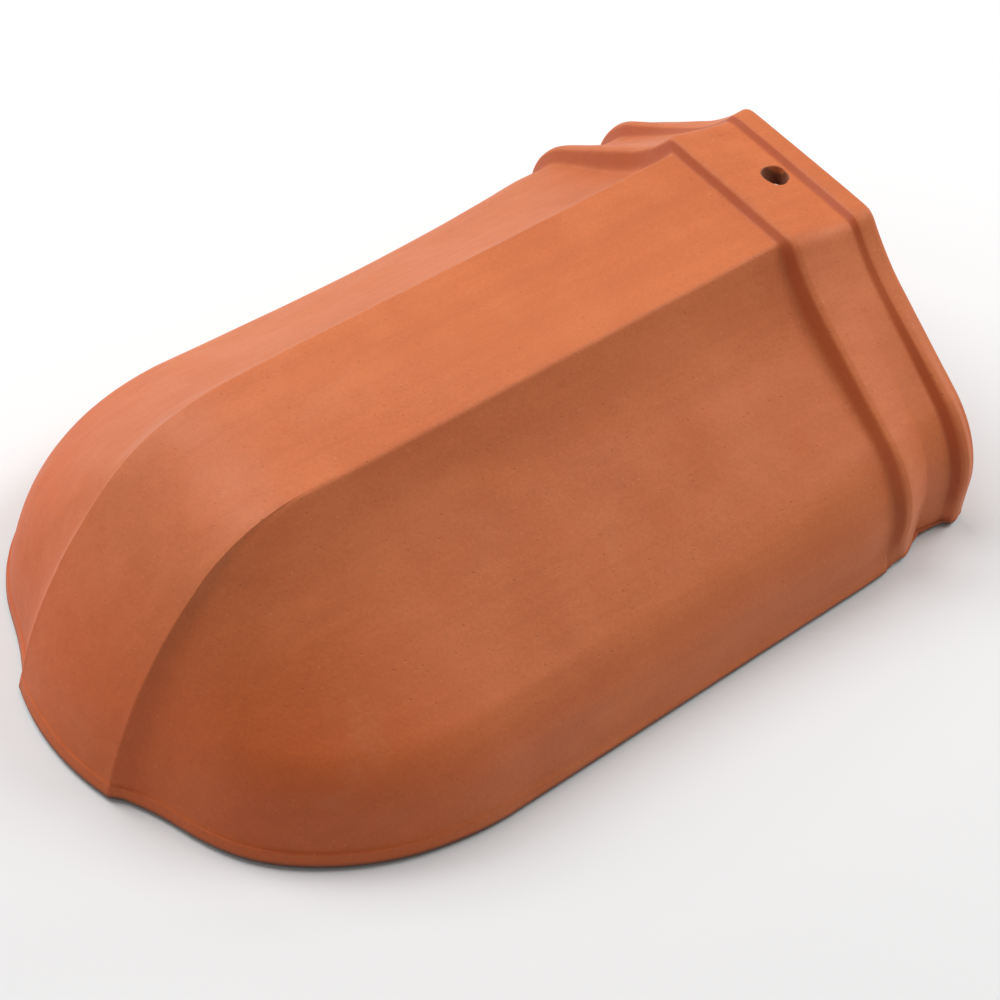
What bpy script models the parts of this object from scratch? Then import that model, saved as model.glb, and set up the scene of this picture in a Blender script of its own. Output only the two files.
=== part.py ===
"""Clay ridge tile with a closed rounded end and a stepped collar with a nail hole.

Run it with blender --background --python part.py, or from Blender's text editor.
Metres, +Z up. The ridge runs along X: rounded end towards -X, open collar towards +X.
The tile rests on its rim at Z = 0, and the origin is under its middle.
"""

from math import acos, cos, pi, radians, sin, tan

import bmesh
import bpy
from mathutils import Vector

# Overall sizes
LENGTH = 0.4315
HEIGHT = 0.1287
WIDTH_AT_ROUND_END = 0.304
WIDTH_AT_COLLAR = 0.288
WALL = 0.013
BAND_WIDTH = 0.0765
RIM_CHAMFER = 0.002

# Cross-section: slopes in degrees below level, radii and heights in metres
CREASE_SLOPE = 58
CREASE_RADIUS = 0.003
COVE_RADIUS = 0.114
SHOULDER_RADIUS = 0.048
SKIRT_SLOPE = 77.3
END_SKIRT_SLOPE = 90.8
SKIRT_TURN_START = 0.200
SKIRT_HEIGHT = 0.026

# Rounded end: side view of the band, then the plan of the rim
BAND_FOOT_SLOPE = 77
BAND_BEND_SLOPE = 41
BAND_BEND_RADIUS = 0.059
BAND_CROWN = 0.0053
ROUND_END_LENGTH = 0.1385
PLAN_COVE_RADIUS = 0.034
PLAN_COVE_HEADING = 40
PLAN_FLAT_HEADING = 71.5
PLAN_FLAT_LENGTH = 0.022
PLAN_FRONT_RADIUS = 0.092
PLAN_TURN_HEADING = 40.5
PLAN_SIDE_RADIUS = 0.140

# Collar: places are measured from the end of the body, gains from the body's own sizes
COLLAR_LENGTH = 0.0535
COLLAR_LEAN = 3.6
COLLAR_CREASE_SLOPE = 50
COLLAR_CREASE_RADIUS = 0.012
COLLAR_BAND_GAIN = 0.005
COLLAR_INNER_DRAW_IN = 0.008
COLLAR_INNER_STEP = 0.012
ROOT_SPREAD = -0.002
ROOT_LENGTH = 0.020
BEAD_PLACE = 0.007
BEAD_RISE = 0.0042
BEAD_SPREAD = -0.0012
BEAD_SKIRT_SLOPE = 95.5
NECK_PLACE = 0.027
NECK_RISE = -0.0006
NECK_SPREAD = -0.0102
NECK_SKIRT_SLOPE = 93.5
GROOVE_PLACE = 0.040
GROOVE_RISE = -0.0038
GROOVE_SPREAD = -0.0088
GROOVE_SKIRT_SLOPE = 91.5
LIP_PLACE = 0.0465
LIP_RISE = -0.0002
LIP_SPREAD = -0.0055
LIP_SKIRT_SLOPE = 93.5
END_ROUNDING = 0.0022
NAIL_HOLE_DIAMETER = 0.0125
NAIL_HOLE_PLACE = 0.032

# Steps of the curved stretches, and how far a cutter runs past what it cuts
CREASE_STEPS = 3
COVE_STEPS = 6
FLANK_STEPS = 3
SHOULDER_STEPS = 7
SKIRT_STEPS = 2
BAND_STEPS = 3
PLAN_STEPS = (3, 3, 1, 4, 5)
INNER_PLAN_STEPS = (1, 2, 1, 3, 4)
BODY_STEPS = 6
CUTTER_MARGIN = 0.010

# Places along the ridge, from the front corners of the band at 0
TILE_END = LENGTH - BAND_CROWN
BODY_END = TILE_END - COLLAR_LENGTH
CENTRE = LENGTH / 2 - BAND_CROWN

CLAY_COLOUR = (0.52, 0.19, 0.08, 1.0)


def arc(point, radius, start, end, steps):
    """Points after `point` on an arc whose slope below level turns from start to end."""
    y, z = point
    first = radians(start)
    turn = radius if end > start else -radius
    points = []
    for step in range(1, steps + 1):
        slope = radians(start + (end - start) * step / steps)
        across = turn * (sin(slope) - sin(first))
        down = turn * (cos(first) - cos(slope))
        points.append((y + across, z - down))
    return points


def straight(start, end, steps):
    """Evenly spaced points after start, up to end."""
    return [
        tuple(a + (b - a) * step / steps for a, b in zip(start, end))
        for step in range(1, steps + 1)
    ]


def body_half_width(place):
    """Half the tile's width at its rim; the sides draw in from the round end to the collar."""
    share = (place - ROUND_END_LENGTH) / (BODY_END - ROUND_END_LENGTH)
    return (WIDTH_AT_ROUND_END + (WIDTH_AT_COLLAR - WIDTH_AT_ROUND_END) * share) / 2


def skirt_slope(place):
    """Slope of the skirts, which stand more upright towards the collar."""
    turn = (place - SKIRT_TURN_START) / (BODY_END - SKIRT_TURN_START)
    return SKIRT_SLOPE + (END_SKIRT_SLOPE - SKIRT_SLOPE) * min(1.0, max(0.0, turn)) ** 2


class Section:
    """Half cross-section: flat band, rounded crease, cove, straight flank, shoulder and skirt."""

    def __init__(self, half_band, height, half_width, skirt_slope, collar=0.0, inset=0.0):
        """Sizes of the outer form; collar blends from the body's crease (0) to the collar's (1)."""
        self.crease_slope = CREASE_SLOPE + (COLLAR_CREASE_SLOPE - CREASE_SLOPE) * collar
        self.skirt_slope = skirt_slope
        self.crease_radius = CREASE_RADIUS + (COLLAR_CREASE_RADIUS - CREASE_RADIUS) * collar
        self.half_band = half_band
        self.height = height
        self.half_width = half_width
        self.inset = inset
        self.flank_slope = self.fitting_slope()

    def start(self, inset):
        """Where the flat band ends and the rounded crease begins."""
        cut = (self.crease_radius + inset) * tan(radians(self.crease_slope / 2))
        return (self.half_band - cut, self.height - inset)

    def upper(self, slope, inset):
        """Points from the band over the crease and down the cove to the flank."""
        points = [self.start(inset)]
        points += arc(points[-1], self.crease_radius, 0, self.crease_slope, CREASE_STEPS)
        points += arc(points[-1], COVE_RADIUS + inset, self.crease_slope, slope, COVE_STEPS)
        return points

    def flank_end(self, slope, inset):
        """End of the flank, from which shoulder and skirt reach the full width at the rim."""
        y, z = self.upper(slope, inset)[-1]
        radius = SHOULDER_RADIUS - inset
        across, down = arc((0, 0), radius, slope, self.skirt_slope, 1)[0]
        lean = 1 / tan(radians(self.skirt_slope))
        half_width = self.half_width - inset / sin(radians(self.skirt_slope))
        run = (half_width - y - across - (z + down) * lean) / (1 - tan(radians(slope)) * lean)
        return (y + run, z - run * tan(radians(slope)))

    def fitting_slope(self):
        """Flank slope, found by halving, that leaves the skirt its own height."""
        shallow, steep = 5.0, self.crease_slope
        for _ in range(40):
            slope = (shallow + steep) / 2
            shoulder = arc(self.flank_end(slope, 0), SHOULDER_RADIUS, slope, self.skirt_slope, 1)
            if shoulder[0][1] < SKIRT_HEIGHT:
                steep = slope
            else:
                shallow = slope
        return slope

    def points(self):
        """Outline as (y, z) points from the crease to the rim, set in where asked."""
        slope, inset = self.flank_slope, self.inset
        outline = self.upper(slope, inset)
        outline += straight(outline[-1], self.flank_end(slope, inset), FLANK_STEPS)
        radius = SHOULDER_RADIUS - inset
        outline += arc(outline[-1], radius, slope, self.skirt_slope, SHOULDER_STEPS)
        y, z = outline[-1]
        foot = 0.0 if inset else RIM_CHAMFER
        across = (z - foot) / tan(radians(self.skirt_slope))
        outline += straight((y, z), (y + across, foot), SKIRT_STEPS)
        return outline


def band_setback(z, height, bend_radius):
    """How far the band's side view stands back from its foot at height z: two arcs."""
    foot, bend = radians(BAND_FOOT_SLOPE), radians(BAND_BEND_SLOPE)
    bend_height = height - bend_radius * (1 - cos(bend))
    front_radius = bend_height / (cos(bend) - cos(foot))
    if z < bend_height:
        angle = acos(cos(foot) + max(z, 0.0) / front_radius)
        return front_radius * (sin(foot) - sin(angle)) + min(z, 0.0) / tan(foot)
    angle = acos(min(1.0, cos(bend) + (z - bend_height) / bend_radius))
    setback = front_radius * (sin(foot) - sin(bend))
    return setback + bend_radius * (sin(bend) - sin(angle))


def plan_shares(steps):
    """Rim of the round end from the band to the straight side, as shares of both lengths.

    The heading is measured from the straight side, so the arcs run from the side backwards.
    """
    crease, cove, flat, front, side = steps
    points = [(0.0, 0.0)]
    points += arc(points[-1], PLAN_SIDE_RADIUS, 0, PLAN_TURN_HEADING, side)
    points += arc(points[-1], PLAN_FRONT_RADIUS, PLAN_TURN_HEADING, PLAN_FLAT_HEADING, front)
    x, y = points[-1]
    heading = radians(PLAN_FLAT_HEADING)
    flat_end = (x + PLAN_FLAT_LENGTH * cos(heading), y - PLAN_FLAT_LENGTH * sin(heading))
    points += straight(points[-1], flat_end, flat)
    points += arc(points[-1], PLAN_COVE_RADIUS, PLAN_FLAT_HEADING, PLAN_COVE_HEADING, cove)
    points += arc(points[-1], CREASE_RADIUS, PLAN_COVE_HEADING, 90, crease)
    back, out = points[-1]
    return [(1 - x / back, 1 - y / out) for x, y in reversed(points)]


def round_end_columns(section, height, inset, steps):
    """Level slices of the round end: each point of the section sweeps forward to the band."""
    half_band = section[0][0]
    foot = inset / sin(radians(BAND_FOOT_SLOPE))
    columns = []
    for back, out in plan_shares(steps):
        column = []
        for y, z in section:
            front = foot + band_setback(z, height, BAND_BEND_RADIUS - inset)
            x = front + (ROUND_END_LENGTH - front) * back
            column.append((x, half_band + (y - half_band) * out, z))
        columns.append(column)
    return columns


def leaned(place, z):
    """Place along the ridge of a point of the collar, whose sections lean over the body."""
    return place - (HEIGHT - z) * tan(radians(COLLAR_LEAN))


def body_columns():
    """Sections of the straight body, which take up the collar's lean by its end."""
    columns = []
    root_share = 1 - ROOT_LENGTH / (BODY_END - ROUND_END_LENGTH)
    shares = [root_share * step / (BODY_STEPS - 1) for step in range(1, BODY_STEPS)]
    for share in shares + [1.0]:
        place = ROUND_END_LENGTH + (BODY_END - ROUND_END_LENGTH) * share
        near_root = max(0.0, 1 - (BODY_END - place) / ROOT_LENGTH)
        half_width = body_half_width(place) + ROOT_SPREAD * near_root
        section = Section(BAND_WIDTH / 2, HEIGHT, half_width, skirt_slope(place)).points()
        columns.append([(place + (leaned(place, z) - place) * share, y, z) for y, z in section])
    return columns


def collar_profile():
    """Rings of the collar: place, blend to its crease, skirt slope, rise of top, spread of sides."""
    rings = (
        (0.0, 0.0, END_SKIRT_SLOPE, 0.0, ROOT_SPREAD),
        (BEAD_PLACE, 1.0, BEAD_SKIRT_SLOPE, BEAD_RISE, BEAD_SPREAD),
        (NECK_PLACE, 1.0, NECK_SKIRT_SLOPE, NECK_RISE, NECK_SPREAD),
        (GROOVE_PLACE, 1.0, GROOVE_SKIRT_SLOPE, GROOVE_RISE, GROOVE_SPREAD),
        (LIP_PLACE, 1.0, LIP_SKIRT_SLOPE, LIP_RISE, LIP_SPREAD),
    )
    steps = (6, 3, 2, 5)
    profile = []
    for before, after, count in zip(rings, rings[1:], steps):
        for step in range(1, count + 1):
            share = step / count
            eased = (1 - cos(pi * share)) / 2
            values = [a + (b - a) * eased for a, b in zip(before[1:], after[1:])]
            profile.append((before[0] + (after[0] - before[0]) * share, *values))
    for step in range(1, 4):
        angle = step / 3 * pi / 2
        place = LIP_PLACE + (COLLAR_LENGTH - LIP_PLACE) * sin(angle)
        sink = END_ROUNDING * (1 - cos(angle))
        profile.append((place, 1.0, LIP_SKIRT_SLOPE, LIP_RISE - sink, LIP_SPREAD - sink))
    return profile


def collar_columns():
    """Sections of the collar, each worked out from the body's section and the profile."""
    columns = []
    for place, blend, slope, rise, spread in collar_profile():
        half_width = body_half_width(BODY_END + place) + spread
        half_band = BAND_WIDTH / 2 + COLLAR_BAND_GAIN * blend
        section = Section(half_band, HEIGHT + rise, half_width, slope, blend).points()
        columns.append([(leaned(BODY_END + place, z), y, z) for y, z in section])
    return columns


def add_patch(bm, grid):
    """Add a grid of points to the mesh as a sheet of quads."""
    verts = [[bm.verts.new(point) for point in row] for row in grid]
    for row, next_row in zip(verts, verts[1:]):
        for k in range(len(row) - 1):
            bm.faces.new((row[k], row[k + 1], next_row[k + 1], next_row[k]))


def band_strip(edge_points, height):
    """Strip of the band from its centre line to the given edge, crowned below the top."""
    strip = []
    for x, y, z in edge_points:
        crown = BAND_CROWN * max(0.0, 1 - z / height)
        row = []
        for step in range(BAND_STEPS + 1):
            across = step / BAND_STEPS
            row.append((x - crown * (1 - across**2), y * across, z))
        strip.append(row)
    return strip


def flat_cap(bm, loop):
    """Close the half shell with one flat face."""
    bm.faces.new([bm.verts.new(point) for point in loop])


def half_shell(name, columns):
    """Closed half of a tile-shaped solid on the +Y side, with a Mirror modifier for the rest."""
    bm = bmesh.new()
    add_patch(bm, columns)
    height = columns[0][0][2]
    front = band_strip(columns[0], height)
    top = []
    for column in columns:
        x, y, z = column[0]
        top.append([(x, y * step / BAND_STEPS, z) for step in range(BAND_STEPS + 1)])
    add_patch(bm, front)
    add_patch(bm, top)
    rim = [column[-1] for column in columns]
    foot_x, _, foot_z = rim[-1]
    centre_foot = (foot_x, 0.0, foot_z)
    flat_cap(bm, front[-1][:-1] + rim + [centre_foot])
    flat_cap(bm, top[-1][:-1] + columns[-1] + [centre_foot])
    bmesh.ops.remove_doubles(bm, verts=bm.verts, dist=1e-6)
    bmesh.ops.translate(bm, verts=bm.verts, vec=(-CENTRE, 0, 0))
    bmesh.ops.recalc_face_normals(bm, faces=bm.faces)
    mesh = bpy.data.meshes.new(name)
    bm.to_mesh(mesh)
    bm.free()
    obj = bpy.data.objects.new(name, mesh)
    mirror = obj.modifiers.new("Mirror", "MIRROR")
    mirror.use_axis = (False, True, False)
    mirror.use_clip = True
    mirror.merge_threshold = 1e-5
    return obj


def with_foot(columns, draw_in, level):
    """The columns with one more point each, below the last and drawn in square to the rim."""
    rim = [Vector(column[-1][:2]) for column in columns]
    footed = []
    for k, column in enumerate(columns):
        along = rim[min(k + 1, len(rim) - 1)] - rim[max(k - 1, 0)]
        inwards = Vector((along.y, -along.x)).normalized() * draw_in
        footed.append(column + [(*(rim[k] + inwards), level)])
    return footed


def tile_body():
    """Outer form of the whole tile as a solid."""
    half_width = body_half_width(ROUND_END_LENGTH)
    section = Section(BAND_WIDTH / 2, HEIGHT, half_width, SKIRT_SLOPE).points()
    columns = round_end_columns(section, HEIGHT, 0.0, PLAN_STEPS)
    columns += body_columns() + collar_columns()
    return half_shell("ridge_tile", with_foot(columns, RIM_CHAMFER, 0.0))


def inner_section(place, draw_in=0.0):
    """Section of the inside at a place along the ridge, narrower by draw_in on each side."""
    half_width = body_half_width(place) - draw_in
    return Section(BAND_WIDTH / 2, HEIGHT, half_width, skirt_slope(place), inset=WALL).points()


def hollow():
    """Inside of the tile as a cutter: the body's form set in by the wall, narrower in the collar."""
    section = inner_section(ROUND_END_LENGTH)
    columns = round_end_columns(section, HEIGHT - WALL, WALL, INNER_PLAN_STEPS)
    for step in range(1, BODY_STEPS + 1):
        place = ROUND_END_LENGTH + (BODY_END - ROUND_END_LENGTH) * step / BODY_STEPS
        columns.append([(place, y, z) for y, z in inner_section(place)])
    for place in (BODY_END + COLLAR_INNER_STEP, TILE_END + CUTTER_MARGIN):
        columns.append([(place, y, z) for y, z in inner_section(place, COLLAR_INNER_DRAW_IN)])
    return half_shell("hollow", with_foot(columns, 0.0, -CUTTER_MARGIN))


def nail_hole():
    """Cutter for the nail hole in the collar's neck."""
    bm = bmesh.new()
    radius = NAIL_HOLE_DIAMETER / 2
    depth = WALL + 4 * CUTTER_MARGIN
    bmesh.ops.create_cone(
        bm, cap_ends=True, segments=24, radius1=radius, radius2=radius, depth=depth
    )
    mesh = bpy.data.meshes.new("nail_hole")
    bm.to_mesh(mesh)
    bm.free()
    obj = bpy.data.objects.new("nail_hole", mesh)
    obj.location = (BODY_END + NAIL_HOLE_PLACE - CENTRE, 0, HEIGHT - WALL / 2)
    return obj


def clay():
    """Plain fired clay."""
    material = bpy.data.materials.new("terracotta")
    material.use_nodes = True
    shader = material.node_tree.nodes["Principled BSDF"]
    shader.inputs["Base Color"].default_value = CLAY_COLOUR
    shader.inputs["Roughness"].default_value = 0.85
    shader.inputs["Metallic"].default_value = 0.0
    return material


def main():
    for obj in list(bpy.data.objects):
        bpy.data.objects.remove(obj, do_unlink=True)
    parts = bpy.data.collections.new("ridge tile")
    cutters = bpy.data.collections.new("cutters")
    bpy.context.scene.collection.children.link(parts)
    bpy.context.scene.collection.children.link(cutters)

    tile = tile_body()
    tile.data.materials.append(clay())
    tile.data.shade_smooth()
    parts.objects.link(tile)
    for cutter in (hollow(), nail_hole()):
        cutter.hide_render = True
        cutter.display_type = "WIRE"
        cutters.objects.link(cutter)
        cut = tile.modifiers.new(cutter.name, "BOOLEAN")
        cut.operation = "DIFFERENCE"
        cut.solver = "EXACT"
        cut.object = cutter


main()
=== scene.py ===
"""Looks of the clay ridge tile: its fine form, the fired clay, a pale floor, soft light, camera."""

import math

import bmesh
import bpy
import numpy as np
from mathutils import Matrix, Vector


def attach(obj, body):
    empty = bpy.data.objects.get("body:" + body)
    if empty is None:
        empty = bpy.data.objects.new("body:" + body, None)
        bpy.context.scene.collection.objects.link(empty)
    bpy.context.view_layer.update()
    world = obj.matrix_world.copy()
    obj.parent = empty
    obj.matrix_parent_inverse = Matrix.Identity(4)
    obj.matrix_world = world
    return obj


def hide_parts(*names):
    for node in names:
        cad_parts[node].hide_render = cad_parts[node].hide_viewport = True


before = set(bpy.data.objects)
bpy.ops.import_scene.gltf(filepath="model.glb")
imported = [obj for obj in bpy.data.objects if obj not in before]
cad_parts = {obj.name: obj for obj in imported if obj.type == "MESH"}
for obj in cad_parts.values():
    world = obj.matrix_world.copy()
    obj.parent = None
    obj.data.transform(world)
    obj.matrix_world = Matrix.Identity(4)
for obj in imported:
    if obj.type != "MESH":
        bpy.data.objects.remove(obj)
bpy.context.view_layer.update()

# Overall sizes, as in the solid. Lengths are in metres, slopes and headings in degrees.
LENGTH = 0.4315
HEIGHT = 0.1287
WIDTH_AT_ROUND_END = 0.304
WIDTH_AT_COLLAR = 0.288
WALL = 0.013
BAND_WIDTH = 0.0765

# Cross-section, with slopes below level
CREASE_SLOPE = 58
CREASE_RADIUS = 0.003
COVE_RADIUS = 0.114
LEAST_FLANK_SLOPE = 5.0
SHOULDER_RADIUS = 0.048
SKIRT_SLOPE = 77.3
END_SKIRT_SLOPE = 89.8
SKIRT_TURN_START = 0.200
SKIRT_HEIGHT = 0.026

# The skirts draw in just before the collar. The power bends this and the fade up from the rim.
DRAW_IN = 0.0032
DRAW_IN_LENGTH = 0.020
FADE_POWER = 1.5

# Rounded end: side view of the band as slopes and radii of its arcs, then the plan of the rim
BAND_BENDS = ((5, 0.20), (45, 0.078))
BAND_FOOT_SLOPE = 77
BAND_CROWN = 0.0053
ROUND_END_LENGTH = 0.1385
PLAN_COVE_RADIUS = 0.034
PLAN_COVE_HEADING = 40
PLAN_FLAT_HEADING = 71.5
PLAN_FLAT_LENGTH = 0.022
PLAN_FRONT_RADIUS = 0.092
PLAN_TURN_HEADING = 40.5
PLAN_SIDE_RADIUS = 0.140
PLAN_SOFTNESS = 0.022

# Collar: rings of place, share of the collar's own crease, slope of the skirts, rise of the top,
# spread of the sides, and the power and steps of the stretch that leads to the ring
COLLAR_LENGTH = 0.0535
COLLAR_LEAN = 3.6
COLLAR_CREASE_SLOPE = 52
COLLAR_CREASE_RADIUS = 0.009
COLLAR_BAND_GAIN = 0.0064
COLLAR_RINGS = (
    (0.0012, 0.15, 90.5, 0.0002, -0.0029, 1.5, 4),
    (0.0044, 0.9, 95.8, 0.0034, -0.0018, 1.1, 10),
    (0.0070, 1.0, 96.4, 0.0041, -0.0016, 0.5, 6),
    (0.0130, 1.0, 96.0, 0.0030, -0.0042, 1.3, 8),
    (0.0270, 1.0, 94.0, -0.0010, -0.0108, 1.0, 12),
    (0.0400, 1.0, 91.5, -0.0038, -0.0082, 1.0, 10),
    (0.0412, 1.0, 91.8, -0.0035, -0.0079, 1.5, 4),
    (0.0442, 1.0, 94.4, -0.0020, -0.0046, 1.1, 9),
    (0.0468, 1.0, 95.0, -0.0016, -0.0040, 0.5, 6),
    (0.0510, 1.0, 93.4, -0.0014, -0.0055, 1.4, 6),
)
END_ROUNDING = 0.0022
COLLAR_INNER_DRAW_IN = 0.008
COLLAR_INNER_STEP = 0.012

# Near the rim the first step and the bead run back along the neck, and a little inwards. The run
# sets in over the step and fades out on the neck.
STEP_RUN = 0.008
STEP_RUN_IN = 0.2
STEP_RUN_HEIGHT = 0.022
STEP_RUN_START = 0.004
STEP_RUN_END = 0.031
STEP_RUN_FADE = 0.020

# The first step stays as wide as the bead near the rim
STEP_END = 0.0045
BEAD_SPREAD = -0.0016

# Nail hole, punched a little out of round, with a two-sided stretch and a three-sided wave, and
# narrower inside
HOLE_PLACE = 0.032
HOLE_RADIUS = 0.0067
HOLE_STRETCH = 0.09
HOLE_WAVE = 0.05
HOLE_TURN = 143
HOLE_TAPER = 0.68
HOLE_EDGE = 0.0008
HOLE_WINDOW = (0.0092, 0.0115)

# Foot of the rim: a low ledge, most of it on the rounded end, then the rounded lower edge. The
# ledge's height changes from front to side over the body's first third. The arris is rows of how
# far out and how far down, as shares of the ledge's depth.
LEDGE_HEIGHT_FRONT = 0.009
LEDGE_HEIGHT_SIDE = 0.0045
LEDGE_HEIGHT_THIRDS = 3
LEDGE_DEPTH_FRONT = 0.0009
LEDGE_DEPTH_SIDE = 0.0002
LEDGE_DEPTH_BAND = 0.4
LEDGE_START = 0.018
LEDGE_START_RUN = 0.020
LEDGE_END = 0.120
LEDGE_END_RUN = 0.045
LEDGE_ARRIS = ((0.05, 0.0), (0.5, 0.08), (0.92, 0.18), (1.0, 0.35), (1.0, 0.6))
RIM_FILL = 0.0018
RIM_SOFTNESS = 0.050
EDGE_RADIUS = 0.004
INNER_EDGE_RADIUS = 0.0014

# Unevenness of pressed clay above the rim: size, wavelength, number of waves and seed
UNEVENNESS = ((0.00022, 0.11, 14, 5), (0.00005, 0.025, 20, 8))
WAVELENGTH_SPREAD = (0.7, 1.6)
UNEVEN_FROM = 0.004

# Steps of the curved stretches, and how much closer together the body's are near the collar
SECTION_STEPS = (6, 18, 10, 18, 6)
PLAN_STEPS = (6, 14, 6, 18, 22)
BAND_STEPS = 12
BODY_STEPS = 26
BODY_CLOSING = 1.4
END_STEPS = 5
EDGE_STEPS = 6
WALL_STEPS = 2
BORE_STEPS = 4
HOLE_EDGE_STEPS = 4
HOLE_RING_SHARES = (0.3, 0.6, 0.85, 1.0)

# How fine the sums are: halvings of a search, samples of a softened line, lengths that vanish
HALVINGS = 40
SOFTENING_SAMPLES = 801
MERGE_LENGTH = 2e-6
LEAST_EDGE = 1e-7

# Fired clay, in linear colour
CLAY = (0.560, 0.143, 0.043, 1)
CLAY_DEEP = (0.520, 0.128, 0.037, 1)
CLAY_LIGHT = (0.590, 0.160, 0.052, 1)
# Painted shade: deeper, more saturated clay for the low front of the rounded end
CLAY_LOW_SHADE = (0.560, 0.102, 0.016, 1)
CLAY_BLOOM = (0.640, 0.300, 0.160, 1)
CLAY_SPECK = (0.180, 0.060, 0.030, 1)
CLAY_CHIP = (0.720, 0.380, 0.220, 1)
# Painted shade: darker clay in the collar's steps
CLAY_STEP_SHADE = (0.400, 0.070, 0.014, 1)
# Painted shade, near black, for the nail hole's bore and the lower edge
CLAY_PAINTED_SHADE = (0.110, 0.040, 0.020, 1)

# Patterns in the clay: scale, detail, roughness and distortion of the noise
MOTTLING = (8, 3, 0.55, 0.4)
BLOTCHES = (34, 4, 0.6)
BLOOM = (13, 4, 0.6, 0.8)
STREAKS = (1.0, 3, 0.6)
STREAK_SCALE = (5, 130, 130)
GRAIN = (620, 3, 0.7)
SHINE = (22, 4, 0.6)
DIMPLES = (70, 4, 0.55)
SPECK_SCALE = 320

# Masks: two values of a pattern or a place, and the share of the colour, or the shade, at either.
# A cell has a speck or a chip where its random number, its lot, is high enough.
MOTTLING_MASK = (0.36, 0.64, 0, 1)
BLOTCH_MASK = (0.40, 0.66, 0, 0.5)
BLOOM_MASK = (0.60, 0.78, 0, 0.16)
# Painted shade low on the front of the rounded end, set along the tile and by height
LOW_SHADE_ALONG = (-0.03, -0.17, 0, 0.85)
LOW_SHADE_LEVEL = (0.115, 0.04, 0, 1)
STREAK_RANGE = (0.3, 0.7, 0.35, 0.65)
STREAK_SHARE = 0.10
GRAIN_RANGE = (0.25, 0.75, 0.3, 0.7)
GRAIN_SHARE = 0.15
SPECK_SIZE = (0.10, 0.20, 1, 0)
SPECK_LOT = (0.80, 0.84, 0, 1)
SPECK_SHARE = 0.20
CHIP_SIZE = (0.12, 0.22, 1, 0)
CHIP_LOT = (0.86, 0.90, 0, 1)
CHIP_SHARE = 0.14
# Painted shade in the nail hole's bore and along the lower edge
BORE_SHADE_MASK = (HOLE_RADIUS - 0.0002, HOLE_RADIUS + 0.0006, 0.8, 0)
RIM_SHADE_MASK = (0.0018, 0.0054, 1, 0)

# Painted shade in the collar's two steps, darker clay where the risers lie in shade: first and last
# place and share of each, the blur before and after either place, and how the share changes towards
# the top and the rim
STEP_PAINTED_SHADES = ((0.0017, 0.0041, 0.65), (0.0411, 0.0438, 0.80))
STEP_BLUR_IN = (-0.0016, 0.0008)
STEP_BLUR_OUT = (-0.0004, 0.0006)
STEP_TOP = (0.114, 0.124, 1, 1.3)
STEP_FOOT = (0.012, 0.022, 0.25, 1)

# Surface of the clay: a mask that makes roughness of the shine's pattern, and depths of bumps
CLAY_ROUGHNESS = (0.35, 0.65, 0.56, 0.67)
CLAY_SPECULAR = 0.38
CLAY_SHEEN = 0.04
CLAY_SHEEN_ROUGHNESS = 0.45
DIMPLE_DEPTH = 0.00040
STREAK_DEPTH = 0.00010
GRAIN_DEPTH = 0.00012
SPECK_DEPTH = 0.00012

# Camera at the photograph's angle
CAMERA_EYE = (-0.5562, -0.7865, 1.1022)
CAMERA_TARGET = (0.0151, -0.0256, 0.0392)
CAMERA_ROLL = 0.499
CAMERA_LENS = 110.8
CAMERA_SENSOR = 36
CAMERA_NEAR = 0.05

# Studio: pale floor and surroundings, and soft lights round the tile with their elevation and
# azimuth in degrees and their power in watts
FLOOR_HALF_SIZE = 6
FLOOR_COLOUR = (0.80, 0.80, 0.80, 1)
FLOOR_ROUGHNESS = 0.9
WORLD_COLOUR = (1, 1, 1, 1)
WORLD_STRENGTH = 0.25
SOFT_LIGHTS = (
    (20, 0, 7.5),
    (20, 90, 4.5),
    (20, 135, 4.0),
    (48, 112, 15.0),
    (48, 337, 14.5),
    (72, 90, 13.0),
)
LIGHT_DISTANCE = 2.0
LIGHT_SIZE = 1.0
LIGHT_AIM = (0, 0, 0.05)

TILE_END = LENGTH - BAND_CROWN
BODY_END = TILE_END - COLLAR_LENGTH
CENTRE = LENGTH / 2 - BAND_CROWN


def mix(a, b, share):
    return a + (b - a) * share


def eased(share):
    """0 to 1 with a level start and end."""
    return (1 - np.cos(np.pi * np.clip(share, 0, 1))) / 2


def arc(start, radius, first, last, steps):
    """Points after start on an arc whose slope below level turns from first to last."""
    angles = np.radians(np.linspace(first, last, steps + 1)[1:])
    begin = math.radians(first)
    turn = radius if last > first else -radius
    across = turn * (np.sin(angles) - math.sin(begin))
    down = turn * (math.cos(begin) - np.cos(angles))
    return np.column_stack((start[0] + across, start[1] - down))


def straight(start, end, steps):
    """Evenly spaced points after start, up to end."""
    shares = np.linspace(0, 1, steps + 1)[1:, None]
    return np.asarray(start) + (np.asarray(end) - np.asarray(start)) * shares


def softened(points, width):
    """The line with its bends spread over width; its ends stay where they are."""
    steps = np.linalg.norm(np.diff(points, axis=0), axis=1)
    along = np.concatenate(([0], np.cumsum(steps)))
    even = np.linspace(0, along[-1], SOFTENING_SAMPLES)
    line = np.column_stack([np.interp(even, along, part) for part in points.T])
    reach = min(max(1, int(width / 2 / even[1])), SOFTENING_SAMPLES // 2)
    before = 2 * line[0] - line[reach:0:-1]
    after = 2 * line[-1] - line[-2:-reach - 2:-1]
    kernel = np.hanning(2 * reach + 3)[1:-1]
    kernel /= kernel.sum()
    padded = np.vstack((before, line, after))
    smooth = [np.convolve(part, kernel, "valid") for part in padded.T]
    return np.column_stack([np.interp(along, even, part) for part in smooth])


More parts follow.
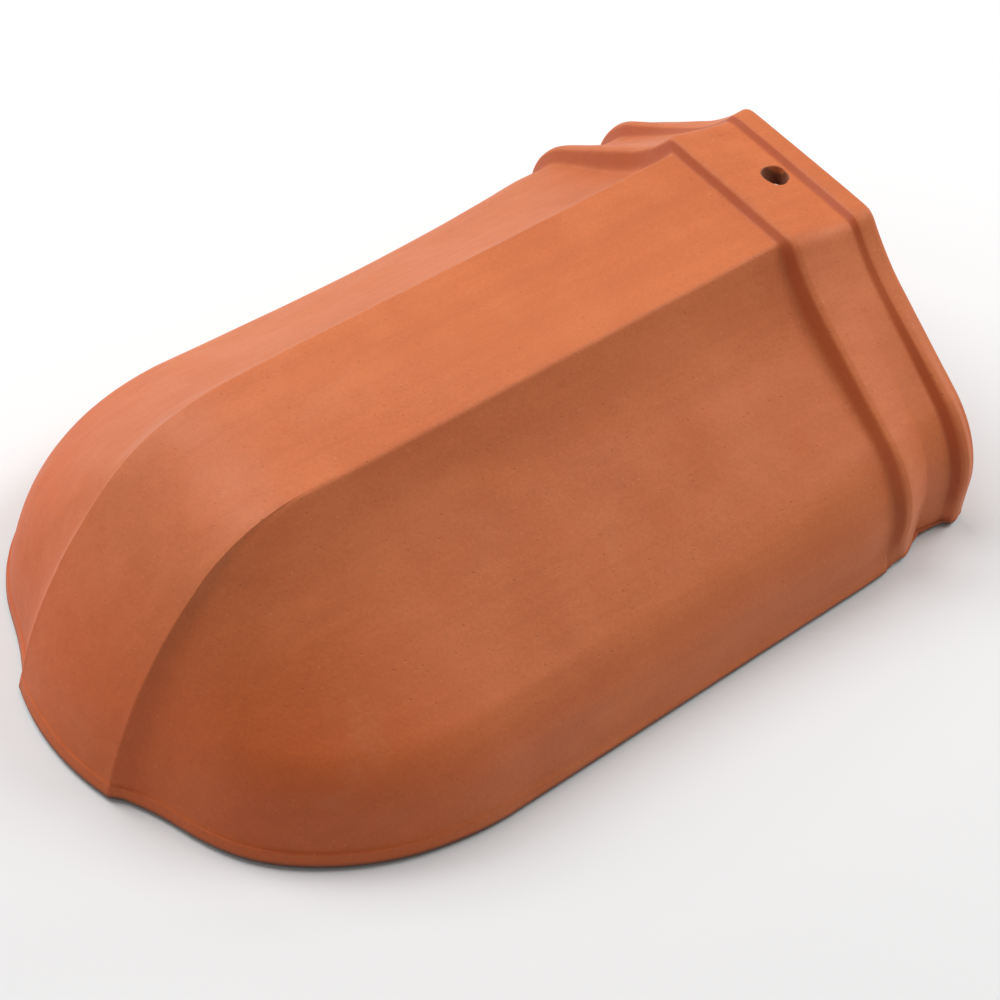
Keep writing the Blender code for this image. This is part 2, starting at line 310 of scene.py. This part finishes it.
class Section:
    """Half cross-section from the crease down to the skirt, as rows of (y, z)."""

    def __init__(self, half_band, height, half_width, skirt_slope, collar=0.0, inset=0.0):
        self.half_band, self.height, self.half_width = half_band, height, half_width
        self.skirt_slope, self.inset = skirt_slope, inset
        self.crease_slope = mix(CREASE_SLOPE, COLLAR_CREASE_SLOPE, collar)
        self.crease_radius = mix(CREASE_RADIUS, COLLAR_CREASE_RADIUS, collar)
        self.flank_slope = self.fitting_slope()

    def upper(self, slope, inset, steps):
        """Crease and hollow of the flank, down to where the flank has the given slope."""
        cut = (self.crease_radius + inset) * math.tan(math.radians(self.crease_slope / 2))
        start = np.array([[self.half_band - cut, self.height - inset]])
        crease = arc(start[-1], self.crease_radius, 0, self.crease_slope, steps[0])
        cove = arc(crease[-1], COVE_RADIUS + inset, self.crease_slope, slope, steps[1])
        return np.vstack((start, crease, cove))

    def flank_end(self, slope, inset):
        """Lower end of the straight flank, from where the shoulder just meets the skirt."""
        y, z = self.upper(slope, inset, (1, 1))[-1]
        across, down = arc((0, 0), SHOULDER_RADIUS - inset, slope, self.skirt_slope, 1)[0]
        lean = 1 / math.tan(math.radians(self.skirt_slope))
        half_width = self.half_width - inset / math.sin(math.radians(self.skirt_slope))
        fall = math.tan(math.radians(slope))
        run = (half_width - y - across - (z + down) * lean) / (1 - fall * lean)
        return (y + run, z - run * fall)

    def fitting_slope(self):
        """The flank's slope that brings the shoulder's lower end to the skirt's height."""
        shallow, steep = LEAST_FLANK_SLOPE, self.crease_slope
        for _ in range(HALVINGS):
            slope = (shallow + steep) / 2
            end = self.flank_end(slope, 0)
            if arc(end, SHOULDER_RADIUS, slope, self.skirt_slope, 1)[0][1] < SKIRT_HEIGHT:
                steep = slope
            else:
                shallow = slope
        return slope

    def points(self, foot):
        """The rows, the last of them at height foot."""
        slope, inset = self.flank_slope, self.inset
        rows = self.upper(slope, inset, SECTION_STEPS)
        flank = straight(rows[-1], self.flank_end(slope, inset), SECTION_STEPS[2])
        radius = SHOULDER_RADIUS - inset
        shoulder = arc(flank[-1], radius, slope, self.skirt_slope, SECTION_STEPS[3])
        y, z = shoulder[-1]
        end = (y + (z - foot) / math.tan(math.radians(self.skirt_slope)), foot)
        skirt = straight((y, z), end, SECTION_STEPS[4])
        return np.vstack((rows, flank, shoulder, skirt))


def body_share(place):
    """0 at the end of the rounded end, 1 where the collar begins."""
    return (place - ROUND_END_LENGTH) / (BODY_END - ROUND_END_LENGTH)


def body_half_width(place):
    return mix(WIDTH_AT_ROUND_END, WIDTH_AT_COLLAR, body_share(place)) / 2


def skirt_slope(place):
    """The skirts stand more upright towards the collar."""
    turn = np.clip((place - SKIRT_TURN_START) / (BODY_END - SKIRT_TURN_START), 0, 1)
    return mix(SKIRT_SLOPE, END_SKIRT_SLOPE, turn**2)


def draw_in(place):
    """How much narrower than its taper each side gets just before the collar."""
    return DRAW_IN * np.clip(1 - (BODY_END - place) / DRAW_IN_LENGTH, 0, 1) ** FADE_POWER


def lowness(z):
    """1 at the rim, 0 where the skirt's upper part begins."""
    return np.clip(1 - z / STEP_RUN_HEIGHT, 0, 1) ** FADE_POWER


def band_setback(z, height, inset):
    """How far the band's side view stands back from its foot at height z: arcs from the top."""
    place, level, before = 0.0, height, 0.0
    setback = np.zeros_like(z)
    foot = math.radians(BAND_FOOT_SLOPE)
    for slope, radius in (*BAND_BENDS, (BAND_FOOT_SLOPE, None)):
        slope = math.radians(slope)
        if radius is None:
            radius = level / (math.cos(before) - math.cos(foot))
        else:
            radius -= inset
        below = np.arccos(np.clip(math.cos(before) - (level - z) / radius, -1, 1))
        here = place - radius * (np.sin(below) - math.sin(before))
        setback = np.where(z <= level, here, setback)
        place -= radius * (math.sin(slope) - math.sin(before))
        level -= radius * (math.cos(before) - math.cos(slope))
        before = slope
    return setback - place


def plan_shares():
    """Rim of the round end from the band to the straight side, as shares of both lengths."""
    crease, cove, flat, front, side = PLAN_STEPS
    side_arc = arc((0, 0), PLAN_SIDE_RADIUS, 0, PLAN_TURN_HEADING, side)
    turn = arc(side_arc[-1], PLAN_FRONT_RADIUS, PLAN_TURN_HEADING, PLAN_FLAT_HEADING, front)
    heading = math.radians(PLAN_FLAT_HEADING)
    flat_end = turn[-1] + PLAN_FLAT_LENGTH * np.array((math.cos(heading), -math.sin(heading)))
    points = np.vstack(([(0.0, 0.0)], side_arc, turn, straight(turn[-1], flat_end, flat)))
    hollow = arc(points[-1], PLAN_COVE_RADIUS, PLAN_FLAT_HEADING, PLAN_COVE_HEADING, cove)
    points = softened(np.vstack((points, hollow)), PLAN_SOFTNESS)
    points = np.vstack((points, arc(points[-1], CREASE_RADIUS, PLAN_COVE_HEADING, 90, crease)))
    return 1 - points[::-1] / points[-1]


def round_end(section, height, inset):
    """Columns of the round end: each height's point sweeps forward and in to the band."""
    half_band = section[0, 0]
    y, z = section.T
    front = inset / math.sin(math.radians(BAND_FOOT_SLOPE)) + band_setback(z, height, inset)
    columns = []
    for back, out in plan_shares():
        x = front + (ROUND_END_LENGTH - front) * back
        columns.append(np.column_stack((x, half_band + (y - half_band) * out, z)))
    return columns


def band_front(edge, height):
    """Columns of the band's front from its middle to just before the crease, crowned lower down."""
    x, y, z = edge.T
    crown = BAND_CROWN * np.clip(1 - z / height, 0, 1)
    columns = []
    for across in np.linspace(0, 1, BAND_STEPS + 1)[:-1]:
        columns.append(np.column_stack((x - crown * (1 - across**2), y * across, z)))
    return columns


def front_columns(inset, foot):
    """Columns of the band's front and the round end."""
    half_width = body_half_width(ROUND_END_LENGTH)
    section = Section(BAND_WIDTH / 2, HEIGHT, half_width, SKIRT_SLOPE, inset=inset).points(foot)
    dome = round_end(section, HEIGHT - inset, inset)
    return band_front(dome[0], HEIGHT - inset) + dome


def leaned(place, z):
    """The place along the tile at height z of a ring that leans back with the collar."""
    return place - (HEIGHT - z) * math.tan(math.radians(COLLAR_LEAN))


def step_run(place, z):
    """How far the collar's first step and bead run back along the neck near the rim."""
    sets_in = eased(place / STEP_RUN_START)
    fades = eased((STEP_RUN_END - place) / STEP_RUN_FADE)
    return STEP_RUN * lowness(z) * sets_in * fades


def step_fill(place, spread, z):
    """How far the first step is filled out to the bead's width near the rim."""
    short = max(0.0, BEAD_SPREAD - spread) if place <= STEP_END else 0.0
    return short * lowness(z)


def body_shares():
    """Steps along the straight body, closer together near the collar."""
    return 1 - (1 - np.linspace(0, 1, BODY_STEPS + 1)[1:]) ** BODY_CLOSING


def collar_profile():
    """Place, share, slope, rise, spread and set-in of each ring, rounded at the collar's end."""
    profile = []
    before = (0.0, 0.0, END_SKIRT_SLOPE, 0.0, -DRAW_IN)
    for *ring, power, steps in COLLAR_RINGS:
        for share in np.linspace(0, 1, steps + 1)[1:]:
            values = [mix(a, b, share**power) for a, b in zip(before[1:], ring[1:])]
            profile.append((mix(before[0], ring[0], share), *values, 0.0))
        before = ring
    place, *values = before
    for angle in np.linspace(0, math.pi / 2, END_STEPS + 1)[1:]:
        sink = END_ROUNDING * (1 - math.cos(angle))
        end = place + (COLLAR_LENGTH - place) * math.sin(angle)
        profile.append((end, *values, sink))
    return profile


def outer_columns():
    """Outer side of one half: front, body and collar, and the height of each column's foot."""
    half_band = BAND_WIDTH / 2
    columns = front_columns(0.0, LEDGE_HEIGHT_FRONT)
    feet = [LEDGE_HEIGHT_FRONT] * len(columns)
    for share in body_shares():
        place = mix(ROUND_END_LENGTH, BODY_END, share)
        foot = mix(LEDGE_HEIGHT_FRONT, LEDGE_HEIGHT_SIDE, eased(share * LEDGE_HEIGHT_THIRDS))
        half_width = body_half_width(place) - draw_in(place)
        y, z = Section(half_band, HEIGHT, half_width, skirt_slope(place)).points(foot).T
        y = y + draw_in(place) * lowness(z)
        columns.append(np.column_stack((mix(place, leaned(place, z), share), y, z)))
        feet.append(foot)
    for place, blend, slope, rise, spread, sink in collar_profile():
        half_width = body_half_width(BODY_END + place) + spread - sink
        band = half_band + COLLAR_BAND_GAIN * blend
        section = Section(band, HEIGHT + rise - sink, half_width, slope, blend)
        y, z = section.points(LEDGE_HEIGHT_SIDE).T
        run = step_run(place, z)
        y = y - run * STEP_RUN_IN + step_fill(place, spread, z)
        columns.append(np.column_stack((leaned(BODY_END + place, z) + run, y, z)))
        feet.append(LEDGE_HEIGHT_SIDE)
    return np.array(columns), np.array(feet)


def inner_columns():
    """Inner side with as many columns as the outer side, rounded out at the collar's mouth."""
    foot = INNER_EDGE_RADIUS
    columns = front_columns(WALL, foot)
    places = [mix(ROUND_END_LENGTH, BODY_END, share) for share in body_shares()]
    places += [BODY_END + ring[0] for ring in collar_profile()]
    for place in places:
        flare = max(0.0, 1 - (TILE_END - place) / INNER_EDGE_RADIUS)
        inset = WALL - INNER_EDGE_RADIUS * (1 - math.sqrt(max(0.0, 1 - flare**2)))
        narrowing = COLLAR_INNER_DRAW_IN * eased((place - BODY_END) / COLLAR_INNER_STEP)
        half_width = body_half_width(place) - narrowing
        section = Section(BAND_WIDTH / 2, HEIGHT, half_width, skirt_slope(place), inset=inset)
        y, z = section.points(foot).T
        x = mix(place, leaned(place, z), min(1.0, body_share(place)))
        columns.append(np.column_stack((x, y, z)))
    return np.array(columns)


def outward(columns):
    """Level direction away from the tile at the lower end of each column."""
    rim = columns[:, -1, :2]
    along = np.gradient(rim, axis=0)
    along[0] = (0, 1)
    along /= np.linalg.norm(along, axis=1)[:, None]
    return np.column_stack((-along[:, 1], along[:, 0]))


def rim_fill(columns, out):
    """How far a softened rim stands outside the rim itself: only in its hollow corners."""
    rim = columns[:, -1, :2]
    both_sides = np.vstack((rim[:0:-1] * (1, -1), rim))
    smooth = softened(both_sides, RIM_SOFTNESS)[len(rim) - 1:]
    return np.clip(np.sum((smooth - rim) * out, axis=1), 0, RIM_FILL)


def ledge_depth(columns, out):
    """How far the ledge stands out at each column, most on the rounded end and in its hollows."""
    place = columns[:, -1, 0]
    begins = eased((place - LEDGE_START) / LEDGE_START_RUN)
    ends = eased((LEDGE_END - place) / LEDGE_END_RUN)
    depth = mix(LEDGE_DEPTH_SIDE, LEDGE_DEPTH_FRONT, begins * ends) + rim_fill(columns, out)
    depth[:BAND_STEPS] = depth[BAND_STEPS] * np.linspace(LEDGE_DEPTH_BAND, 1, BAND_STEPS)
    return depth


def with_foot(columns, feet, out, depth, radius):
    """The columns with the ledge, its arris and the rounded lower edge added below."""
    count = len(columns)
    ends = columns[:, -1]
    rise = columns[:, -2] - ends
    lean = -np.sum(rise[:, :2] * out, axis=1) / rise[:, 2]
    rows = []
    for push, drop in LEDGE_ARRIS:
        rows.append((depth * push, np.maximum(feet - depth * drop, radius)))
    rows.append((depth, np.full(count, (feet.min() + radius) / 2)))
    for angle in np.linspace(0, np.pi / 2, EDGE_STEPS + 1):
        height = radius * (1 - math.sin(angle))
        rows.append((depth - radius * (1 - math.cos(angle)), np.full(count, height)))
    added = []
    for push, height in rows:
        spread = push + (feet - height) * lean
        flat = ends[:, :2] + out * spread[:, None]
        added.append(np.column_stack((flat, height)))
    return np.concatenate((columns, np.stack(added, axis=1)), axis=1)


class Surface:
    """Gathers grids of points with the quads between them, which are joined where they meet."""

    def __init__(self):
        self.points, self.faces = [], []
        self.count = 0

    def add_grid(self, grid, skip=None):
        """Quads between the points of a grid, but for those that the mask skip marks."""
        rows, columns = grid.shape[:2]
        index = self.count + np.arange(rows * columns).reshape(rows, columns)
        self.points.append(grid.reshape(-1, 3))
        self.count += rows * columns
        corners = (index[:-1, :-1], index[:-1, 1:], index[1:, 1:], index[1:, :-1])
        quads = np.stack(corners, axis=-1)
        self.faces.append(quads.reshape(-1, 4) if skip is None else quads[~skip])

    def add_rings(self, rings):
        """Quads between closed rings of equally many points."""
        rings = np.array(rings)
        self.add_grid(np.concatenate((rings, rings[:, :1]), axis=1))

    def mesh(self, name):
        bm = bmesh.new()
        verts = [bm.verts.new(point) for point in np.vstack(self.points).tolist()]
        for face in np.vstack(self.faces).tolist():
            bm.faces.new([verts[k] for k in face])
        bmesh.ops.remove_doubles(bm, verts=bm.verts, dist=MERGE_LENGTH)
        bmesh.ops.dissolve_degenerate(bm, edges=bm.edges, dist=LEAST_EDGE)
        bmesh.ops.recalc_face_normals(bm, faces=bm.faces)
        mesh = bpy.data.meshes.new(name)
        bm.to_mesh(mesh)
        bm.free()
        return mesh


def band_top(first_points):
    """Full-width grid of the band's top from the first points of the columns."""
    across = np.linspace(-1, 1, 2 * BAND_STEPS + 1)
    grid = np.repeat(first_points[:, None, :], len(across), axis=1)
    grid[:, :, 1] *= across
    return grid


def hole_window(grid):
    """First and last row and column of the grid's points round the hole."""
    rows = np.where(np.abs(grid[:, 0, 0] - BODY_END - HOLE_PLACE) < HOLE_WINDOW[0])[0]
    columns = np.where(np.abs(grid[rows[0], :, 1]) < HOLE_WINDOW[1])[0]
    return rows[0], rows[-1], columns[0], columns[-1]


def window_mask(grid, window):
    first_row, last_row, first_column, last_column = window
    mask = np.zeros((grid.shape[0] - 1, grid.shape[1] - 1), bool)
    mask[first_row:last_row, first_column:last_column] = True
    return mask


def window_loop(grid, window):
    """The points round the window's edge in order."""
    a, b, c, d = window
    return np.concatenate((grid[a, c:d], grid[a:b, d], grid[b, d:c:-1], grid[b:a:-1, c]))


def hole_rings(grid, window, side, taper):
    """Rings from the window in to the hole's rounded edge; side is 1 on top and -1 inside."""
    loop = window_loop(grid, window)
    middle = BODY_END + HOLE_PLACE
    line = grid[:, grid.shape[1] // 2]
    line = line[np.argsort(line[:, 0])]
    angles = np.arctan2(loop[:, 1], loop[:, 0] - middle)
    turned = angles - math.radians(HOLE_TURN)
    edge = HOLE_RADIUS * (1 + HOLE_WAVE * np.cos(3 * turned))
    edge = edge * (1 - HOLE_STRETCH * np.cos(2 * turned)) * taper

    def ring(reach, sink):
        x = middle + reach * np.cos(angles)
        z = np.interp(x, line[:, 0], line[:, 2]) - side * sink
        return np.column_stack((x, reach * np.sin(angles), z))

    rings = [loop]
    distance = np.hypot(loop[:, 0] - middle, loop[:, 1])
    for share in HOLE_RING_SHARES:
        rings.append(ring(mix(distance, edge + HOLE_EDGE, share), 0.0))
    for angle in np.linspace(0, np.pi / 2, HOLE_EDGE_STEPS + 1)[1:]:
        reach = edge + HOLE_EDGE * (1 - math.sin(angle))
        rings.append(ring(reach, HOLE_EDGE * (1 - math.cos(angle))))
    return rings


def add_band_top(surface, outer, inner, shares):
    """The body's and collar's top inside and out, the mouth's upper side and the nail hole."""
    outer_top = band_top(outer[BAND_STEPS:, 0])
    inner_top = band_top(inner[BAND_STEPS:, 0])
    surface.add_grid(mix(outer_top[-1], inner_top[-1], shares))
    window = hole_window(outer_top)
    for grid in (outer_top, inner_top):
        surface.add_grid(grid, window_mask(grid, window))
    upper = hole_rings(outer_top, window, 1, 1.0)
    lower = hole_rings(inner_top, window, -1, HOLE_TAPER)
    bore = [mix(upper[-1], lower[-1], share) for share in np.linspace(0, 1, BORE_STEPS + 1)]
    for rings in (upper, lower, bore):
        surface.add_rings(rings)


def unevenness(points, amount, wavelength, waves, seed):
    """Smooth random shifts of the points, the same on each run."""
    draw = np.random.default_rng(seed)
    shift = np.zeros_like(points)
    for _ in range(waves):
        direction = draw.normal(size=3)
        length = wavelength * draw.uniform(*WAVELENGTH_SPREAD)
        direction *= 2 * math.pi / length / np.linalg.norm(direction)
        phase = draw.uniform(0, 2 * math.pi)
        shift += np.sin(points @ direction + phase)[:, None] * draw.normal(size=3)
    return points + shift * amount / math.sqrt(waves)


def tile_mesh():
    """The whole tile, shifted to the frame's origin and made slightly uneven."""
    outer, feet = outer_columns()
    inner = inner_columns()
    out = outward(outer)
    outer = with_foot(outer, feet, out, ledge_depth(outer, out), EDGE_RADIUS)
    feet, no_ledge = np.full(len(inner), INNER_EDGE_RADIUS), np.zeros(len(inner))
    inner = with_foot(inner, feet, -outward(inner), no_ledge, INNER_EDGE_RADIUS)

    surface = Surface()
    shares = np.linspace(0, 1, WALL_STEPS + 1)[:, None, None]
    under = mix(outer[:, -1], inner[:, -1], shares)
    mouth = mix(outer[-1], inner[-1], shares)
    for grid in (outer, inner, under, mouth):
        surface.add_grid(grid)
        surface.add_grid(grid * (1, -1, 1))
    add_band_top(surface, outer, inner, shares)

    mesh = surface.mesh("ridge_tile_clay")
    points = np.zeros(len(mesh.vertices) * 3, np.float64)
    mesh.vertices.foreach_get("co", points)
    points = points.reshape(-1, 3) - (CENTRE, 0, 0)
    moved = points
    for waves in UNEVENNESS:
        moved = unevenness(moved, *waves)
    points = mix(points, moved, np.clip(points[:, 2:] / UNEVEN_FROM, 0, 1))
    mesh.vertices.foreach_set("co", points.ravel())
    mesh.shade_smooth()
    mesh.update()
    return mesh


class Nodes:
    """Adds nodes to a material. Each kind's own call gives the new node's output."""

    def __init__(self, material):
        self.tree = material.node_tree

    def feed(self, node, socket, value):
        if hasattr(value, "is_output"):
            self.tree.links.new(value, node.inputs[socket])
        else:
            node.inputs[socket].default_value = value

    def add(self, kind, inputs, **settings):
        node = self.tree.nodes.new(kind)
        for key, value in settings.items():
            setattr(node, key, value)
        for socket, value in inputs.items():
            self.feed(node, socket, value)
        return node

    def noise(self, vector, scale, detail, roughness, distortion=0.0):
        inputs = {"Vector": vector, "Scale": scale, "Detail": detail,
                  "Roughness": roughness, "Distortion": distortion}
        return self.add("ShaderNodeTexNoise", inputs).outputs["Fac"]

    def stretched(self, vector, scale):
        inputs = {"Vector": vector, "Scale": scale}
        return self.add("ShaderNodeMapping", inputs).outputs["Vector"]

    def ranged(self, value, low, high, to_low, to_high):
        """The value's way from low to high, eased, as a way from to_low to to_high."""
        inputs = {"Value": value, "From Min": low, "From Max": high,
                  "To Min": to_low, "To Max": to_high}
        node = self.add("ShaderNodeMapRange", inputs, interpolation_type="SMOOTHSTEP")
        return node.outputs["Result"]

    def blend(self, share, a, b, kind="MIX"):
        """Colour a with a share of b; the Mix node numbers its colour sockets 6, 7 and 2."""
        inputs = {0: share, 6: a, 7: b}
        return self.add("ShaderNodeMix", inputs, data_type="RGBA", blend_type=kind).outputs[2]

    def times(self, a, b):
        return self.add("ShaderNodeMath", {0: a, 1: b}, operation="MULTIPLY").outputs[0]

    def bump(self, height, distance, before=None):
        inputs = {"Strength": 1.0, "Distance": distance, "Height": height}
        if before:
            inputs["Normal"] = before
        return self.add("ShaderNodeBump", inputs).outputs["Normal"]


def body_colour(nodes, place, along, level, streaks, grain):
    """Mottled clay with streaks and grain, and painted shade low on the rounded end: deeper, more
    saturated colour there.
    """
    mottling = nodes.ranged(nodes.noise(place, *MOTTLING), *MOTTLING_MASK)
    colour = nodes.blend(mottling, CLAY_DEEP, CLAY)
    blotches = nodes.ranged(nodes.noise(place, *BLOTCHES), *BLOTCH_MASK)
    colour = nodes.blend(blotches, colour, CLAY_LIGHT)
    # Painted shade: deeper, more saturated clay low on the front of the rounded end
    low_shade = nodes.times(nodes.ranged(along, *LOW_SHADE_ALONG), nodes.ranged(level, *LOW_SHADE_LEVEL))
    colour = nodes.blend(low_shade, colour, CLAY_LOW_SHADE)
    bloom = nodes.ranged(nodes.noise(place, *BLOOM), *BLOOM_MASK)
    colour = nodes.blend(bloom, colour, CLAY_BLOOM)
    colour = nodes.blend(STREAK_SHARE, colour, nodes.ranged(streaks, *STREAK_RANGE), "OVERLAY")
    return nodes.blend(GRAIN_SHARE, colour, nodes.ranged(grain, *GRAIN_RANGE), "OVERLAY")


def with_specks(nodes, place, colour):
    """The colour with dark specks and light chips, and the specks' mask."""
    cells = nodes.add("ShaderNodeTexVoronoi", {"Vector": place, "Scale": SPECK_SCALE})
    lot = nodes.add("ShaderNodeSeparateColor", {0: cells.outputs["Color"]})

    def some(size, channel, chosen):
        within = nodes.ranged(cells.outputs["Distance"], *size)
        return nodes.times(within, nodes.ranged(lot.outputs[channel], *chosen))

    specks = some(SPECK_SIZE, 0, SPECK_LOT)
    colour = nodes.blend(nodes.times(specks, SPECK_SHARE), colour, CLAY_SPECK)
    chips = some(CHIP_SIZE, 1, CHIP_LOT)
    return nodes.blend(nodes.times(chips, CHIP_SHARE), colour, CLAY_CHIP), specks


def with_painted_shade(nodes, place, along, level, colour):
    """The colour with painted shade: a dark bore, darker steps on the collar and a dark lower edge.
    """
    # Painted shade in the nail hole's bore
    flat = nodes.stretched(place, (1, 1, 0))
    middle = (BODY_END + HOLE_PLACE - CENTRE, 0, 0)
    hole = nodes.add("ShaderNodeVectorMath", {0: flat, 1: middle}, operation="DISTANCE")
    colour = nodes.blend(nodes.ranged(hole.outputs["Value"], *BORE_SHADE_MASK), colour, CLAY_PAINTED_SHADE)

    lean = math.tan(math.radians(COLLAR_LEAN))
    upright = nodes.add("ShaderNodeMath", {0: level, 1: -lean, 2: along}, operation="MULTIPLY_ADD")
    # Painted shade in each step, stronger towards the top and weaker near the rim
    for first, last, share in STEP_PAINTED_SHADES:
        start, end = (BODY_END + edge - CENTRE - HEIGHT * lean for edge in (first, last))
        begins = (start + STEP_BLUR_IN[0], start + STEP_BLUR_IN[1], 0, share)
        ends = (end + STEP_BLUR_OUT[0], end + STEP_BLUR_OUT[1], 1, 0)
        dark = nodes.times(*(nodes.ranged(upright.outputs[0], *mask) for mask in (begins, ends)))
        dark = nodes.times(dark, nodes.ranged(level, *STEP_TOP))
        dark = nodes.times(dark, nodes.ranged(level, *STEP_FOOT))
        colour = nodes.blend(dark, colour, CLAY_STEP_SHADE)
    # Painted shade along the lower edge
    return nodes.blend(nodes.ranged(level, *RIM_SHADE_MASK), colour, CLAY_PAINTED_SHADE)


def clay():
    """Fired clay: mottled, finely grained and matte."""
    material = bpy.data.materials.new("fired_clay")
    material.use_nodes = True
    nodes = Nodes(material)
    shader = material.node_tree.nodes["Principled BSDF"]
    shader.inputs["Metallic"].default_value = 0.0
    shader.inputs["Specular IOR Level"].default_value = CLAY_SPECULAR
    shader.inputs["Sheen Weight"].default_value = CLAY_SHEEN
    shader.inputs["Sheen Roughness"].default_value = CLAY_SHEEN_ROUGHNESS

    place = nodes.add("ShaderNodeTexCoord", {}).outputs["Object"]
    along, _, level = nodes.add("ShaderNodeSeparateXYZ", {0: place}).outputs
    streaks = nodes.noise(nodes.stretched(place, STREAK_SCALE), *STREAKS)
    grain = nodes.noise(place, *GRAIN)
    colour = body_colour(nodes, place, along, level, streaks, grain)
    colour, specks = with_specks(nodes, place, colour)
    colour = with_painted_shade(nodes, place, along, level, colour)
    nodes.feed(shader, "Base Color", colour)

    roughness = nodes.ranged(nodes.noise(place, *SHINE), *CLAY_ROUGHNESS)
    nodes.feed(shader, "Roughness", roughness)
    normal = nodes.bump(nodes.noise(place, *DIMPLES), DIMPLE_DEPTH)
    normal = nodes.bump(streaks, STREAK_DEPTH, normal)
    normal = nodes.bump(grain, GRAIN_DEPTH, normal)
    normal = nodes.bump(nodes.times(specks, -1.0), SPECK_DEPTH, normal)
    nodes.feed(shader, "Normal", normal)
    return material


def add_object(name, data):
    obj = bpy.data.objects.new(name, data)
    bpy.context.scene.collection.objects.link(obj)
    return obj


def add_tile():
    tile = add_object("ridge_tile_clay", tile_mesh())
    tile.data.materials.append(clay())
    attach(tile, "root")
    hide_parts("ridge_tile")
    return tile


def add_floor():
    mesh = bpy.data.meshes.new("floor")
    bm = bmesh.new()
    bmesh.ops.create_grid(bm, x_segments=1, y_segments=1, size=FLOOR_HALF_SIZE)
    bm.to_mesh(mesh)
    bm.free()
    material = bpy.data.materials.new("pale_floor")
    material.use_nodes = True
    shader = material.node_tree.nodes["Principled BSDF"]
    shader.inputs["Base Color"].default_value = FLOOR_COLOUR
    shader.inputs["Roughness"].default_value = FLOOR_ROUGHNESS
    mesh.materials.append(material)
    add_object("floor", mesh)


def add_camera():
    eye, target = Vector(CAMERA_EYE), Vector(CAMERA_TARGET)
    back = (eye - target).normalized()
    level = Vector((0, 0, 1)).cross(back).normalized()
    upright = back.cross(level)
    roll = math.radians(CAMERA_ROLL)
    right = level * math.cos(roll) + upright * math.sin(roll)
    up = upright * math.cos(roll) - level * math.sin(roll)
    data = bpy.data.cameras.new("camera")
    data.sensor_width = CAMERA_SENSOR
    data.lens = CAMERA_LENS
    data.clip_start = CAMERA_NEAR
    camera = add_object("camera", data)
    camera.matrix_world = Matrix((
        (right.x, up.x, back.x, eye.x),
        (right.y, up.y, back.y, eye.y),
        (right.z, up.z, back.z, eye.z),
        (0, 0, 0, 1),
    ))
    bpy.context.scene.camera = camera


def add_soft_light(elevation, azimuth, power):
    name = f"soft_light_{elevation}_{azimuth}"
    rise, turn = math.radians(elevation), math.radians(azimuth)
    flat = math.cos(rise)
    away = Vector((flat * math.cos(turn), flat * math.sin(turn), math.sin(rise)))
    data = bpy.data.lights.new(name, "AREA")
    data.shape = "DISK"
    data.size = LIGHT_SIZE
    data.energy = power
    light = add_object(name, data)
    light.location = away * LIGHT_DISTANCE
    aim = Vector(LIGHT_AIM) - light.location
    light.rotation_euler = aim.to_track_quat("-Z", "Y").to_euler()


def add_surroundings():
    world = bpy.data.worlds.new("studio")
    world.use_nodes = True
    background = world.node_tree.nodes["Background"]
    background.inputs["Color"].default_value = WORLD_COLOUR
    background.inputs["Strength"].default_value = WORLD_STRENGTH
    bpy.context.scene.world = world
    bpy.context.scene.view_settings.view_transform = "Standard"


def main():
    tile = add_tile()
    add_floor()
    add_camera()
    add_surroundings()
    for elevation, azimuth, power in SOFT_LIGHTS:
        add_soft_light(elevation, azimuth, power)
    triangles = sum(len(face.vertices) - 2 for face in tile.data.polygons)
    print("tile", len(tile.data.vertices), "points", triangles, "triangles")


main()
